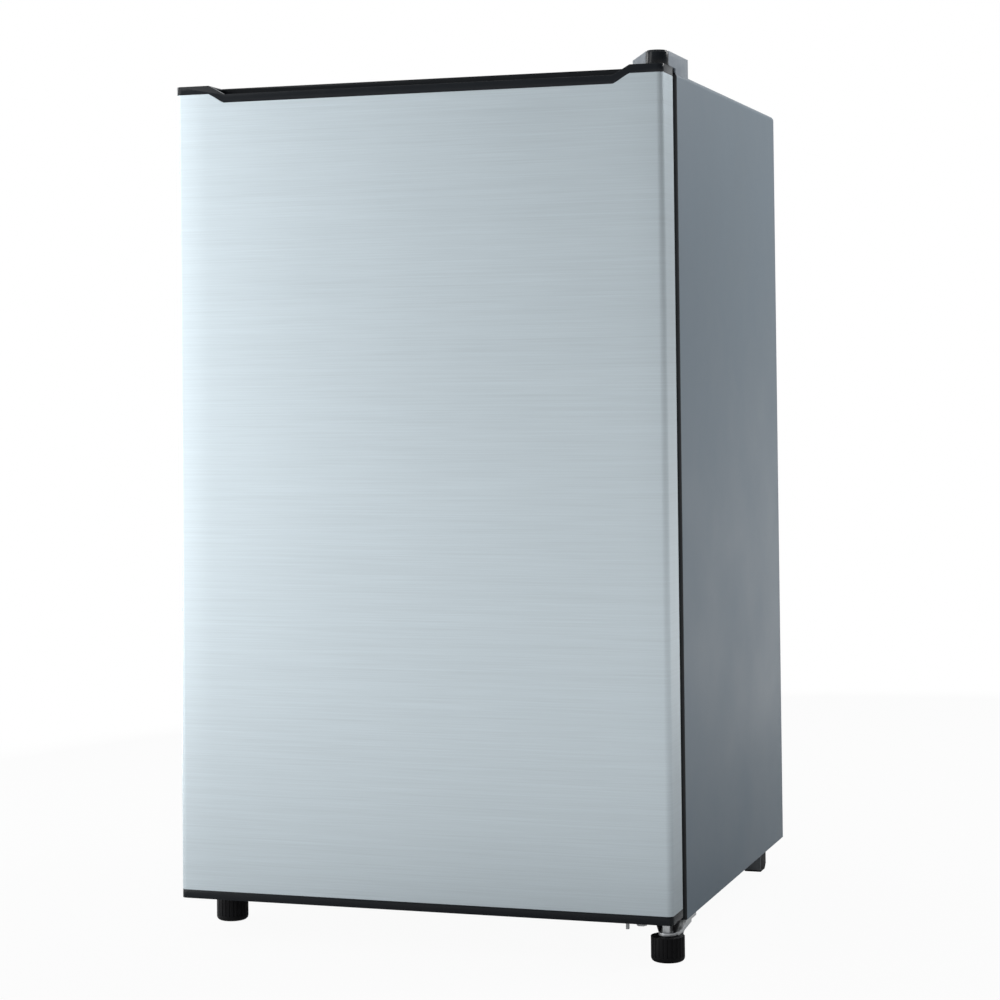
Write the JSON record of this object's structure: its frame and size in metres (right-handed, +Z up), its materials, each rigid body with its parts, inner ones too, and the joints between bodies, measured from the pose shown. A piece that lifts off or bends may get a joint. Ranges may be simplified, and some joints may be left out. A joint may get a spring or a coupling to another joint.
{
  "type": "compact refrigerator",
  "caption": "Single-door compact refrigerator with a brushed door, freezer box, glass shelves, crisper, door racks, levelling feet and a rear compressor with wire condenser.",
  "frame": {"origin": "on the floor, midway between the cabinet's sides and midway between the door's face and the condenser", "axes": "+Z up, the door faces -Y, +X towards the hinge side"},
  "size_m": [0.491, 0.511, 0.83],
  "materials": {
    "brushed_skin": "brushed, lines across the door",
    "cabinet_paint": "satin grey-blue with a fine grain",
    "rear_paint": "matt galvanised or painted sheet",
    "gloss_black": "glossy moulded",
    "cover_plastic": "satin, in the cabinet's colour",
    "foot_plastic": "satin moulded",
    "gasket": "soft matt magnetic gasket",
    "rubber": "matt",
    "white_liner": "vacuum-formed, soft gloss",
    "white_plastic": "moulded, soft gloss",
    "bush_plastic": "plain acetal",
    "switch_plastic": "matt",
    "flap_plastic": "translucent moulded",
    "clear_plastic": "clear moulded",
    "rack_plastic": "translucent moulded",
    "shelf_glass": "clear tempered",
    "evaporator_aluminium": "satin roll-bonded sheet",
    "zinc": "zinc-plated",
    "copper": "bare copper, slightly dulled",
    "compressor_paint": "semi-gloss black enamel",
    "condenser_paint": "satin black enamel",
    "foam": "rigid polyurethane foam"
  },
  "bodies": {
    "cabinet": {"cabinet_shell": "cabinet_paint", "back_panel": "rear_paint", "base_panel": "rear_paint", "foam_insulation": "foam", "inner_liner": "white_liner", "evaporator": "evaporator_aluminium", "evaporator_hangers": "white_plastic", "freezer_frame": "white_plastic", "thermostat_housing": "white_plastic", "thermostat_switch": "switch_plastic", "top_hinge_plate": "zinc", "top_hinge_pin": "zinc", "hinge_cover": "cover_plastic", "hinge_nose_cap": "gloss_black", "bottom_hinge_bracket": "zinc", "bottom_hinge_pin": "zinc", "hinge_screws": "zinc", "left_foot_insert": "zinc", "rear_feet": "foot_plastic", "rear_foot_brackets": "rear_paint", "base_plate": "rear_paint", "compressor": "compressor_paint", "compressor_mount": "compressor_paint", "compressor_grommets": "rubber", "compressor_bolts": "zinc", "terminal_cover": "foot_plastic", "condenser_tube": "condenser_paint", "condenser_wires": "condenser_paint", "condenser_standoffs": "foot_plastic", "refrigerant_lines": "copper", "filter_drier": "copper", "panel_screws": "zinc", "cord_gland": "rubber"},
    "door": {"door_skin": "brushed_skin", "door_top_cap": "gloss_black", "door_bottom_cap": "gloss_black", "door_foam": "foam", "door_liner": "white_liner", "door_gasket": "gasket", "top_door_bush": "bush_plastic", "bottom_door_bush": "bush_plastic", "hinge_shroud": "foot_plastic"},
    "freezer_flap": {"freezer_flap": "flap_plastic"},
    "drip_tray": {"drip_tray": "clear_plastic"},
    "upper_shelf": {"upper_shelf_glass": "shelf_glass", "upper_shelf_trim": "white_plastic"},
    "lower_shelf": {"lower_shelf_glass": "shelf_glass", "lower_shelf_trim": "white_plastic"},
    "crisper_cover": {"crisper_cover_glass": "shelf_glass", "crisper_cover_trim": "white_plastic"},
    "crisper_drawer": {"crisper_drawer": "clear_plastic"},
    "thermostat_knob": {"thermostat_knob": "white_plastic"},
    "upper_rack": {"upper_rack": "rack_plastic"},
    "middle_rack": {"middle_rack": "rack_plastic"},
    "lower_rack": {"lower_rack": "rack_plastic", "bottle_rail": "white_plastic"},
    "left_foot": {"left_foot_stud": "zinc", "left_foot_base": "foot_plastic"},
    "right_foot": {"right_foot_stud": "zinc", "right_foot_base": "foot_plastic"}
  },
  "joints": [
    {"name": "door_hinge", "type": "hinge", "parent": "cabinet", "child": "door", "pos_m": [0.2325, -0.2335, 0.426], "axis": [0, 0, 1], "range_deg": [0, 120]},
    {"name": "freezer_flap_hinge", "type": "hinge", "parent": "cabinet", "child": "freezer_flap", "pos_m": [-0.023, -0.0785, 0.758], "axis": [-1, 0, 0], "range_deg": [0, 85]},
    {"name": "drip_tray_slide", "type": "slide", "parent": "cabinet", "child": "drip_tray", "axis": [0, -1, 0], "range_m": [0, 0.09]},
    {"name": "upper_shelf_slide", "type": "slide", "parent": "cabinet", "child": "upper_shelf", "axis": [0, -1, 0], "range_m": [0, 0.06]},
    {"name": "lower_shelf_slide", "type": "slide", "parent": "cabinet", "child": "lower_shelf", "axis": [0, -1, 0], "range_m": [0, 0.06]},
    {"name": "crisper_cover_slide", "type": "slide", "parent": "cabinet", "child": "crisper_cover", "axis": [0, -1, 0], "range_m": [0, 0.06]},
    {"name": "crisper_drawer_slide", "type": "slide", "parent": "cabinet", "child": "crisper_drawer", "axis": [0, -1, 0], "range_m": [0, 0.02]},
    {"name": "thermostat_turn", "type": "hinge", "parent": "cabinet", "child": "thermostat_knob", "pos_m": [0.1815, -0.0685, 0.709], "axis": [0, 1, 0], "range_deg": [0, 300]},
    {"name": "upper_rack_lift", "type": "slide", "parent": "door", "child": "upper_rack", "axis": [0, 0, 1], "range_m": [0, 0.025]},
    {"name": "middle_rack_lift", "type": "slide", "parent": "door", "child": "middle_rack", "axis": [0, 0, 1], "range_m": [0, 0.025]},
    {"name": "lower_rack_lift", "type": "slide", "parent": "door", "child": "lower_rack", "axis": [0, 0, 1], "range_m": [0, 0.025]},
    {"name": "left_foot_turn", "type": "hinge", "parent": "cabinet", "child": "left_foot", "pos_m": [-0.2255, -0.1745, 0], "axis": [0, 0, -1], "range_deg": [0, 2880]},
    {"name": "right_foot_turn", "type": "hinge", "parent": "cabinet", "child": "right_foot", "pos_m": [0.2325, -0.2335, 0], "axis": [0, 0, -1], "range_deg": [0, 2880]}
  ]
}
